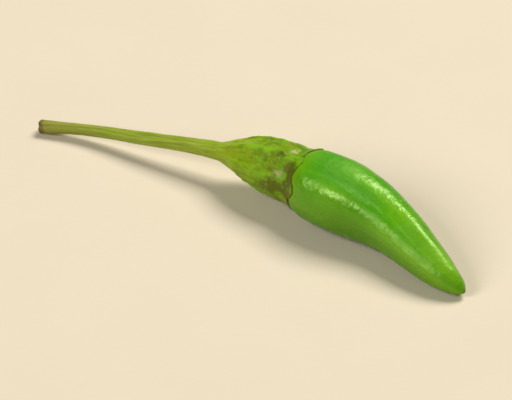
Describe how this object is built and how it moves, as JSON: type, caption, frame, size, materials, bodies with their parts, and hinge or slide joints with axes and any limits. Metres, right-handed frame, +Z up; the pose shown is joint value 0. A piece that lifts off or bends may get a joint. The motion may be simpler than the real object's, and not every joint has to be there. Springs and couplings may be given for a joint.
{
  "type": "chilli pepper",
  "caption": "Small green chilli pepper lying as picked: a tapering bent pod with a pointed tip, a ribbed calyx cup and a thin curved stalk.",
  "frame": {"origin": "on the ground under the middle of the pepper's bounding box", "axes": "+X along the pepper from the stalk's cut end to the pod's tip, +Z up from the surface it lies on"},
  "size_m": [0.0732, 0.0124, 0.0105],
  "materials": {
    "pod_skin": "glossy waxy green skin",
    "calyx_tissue": "satin olive green with corky specks",
    "stalk_tissue": "satin pale green, ridged"
  },
  "bodies": {
    "root": {"pod": "pod_skin", "calyx": "calyx_tissue", "stalk": "stalk_tissue"}
  },
  "joints": []
}
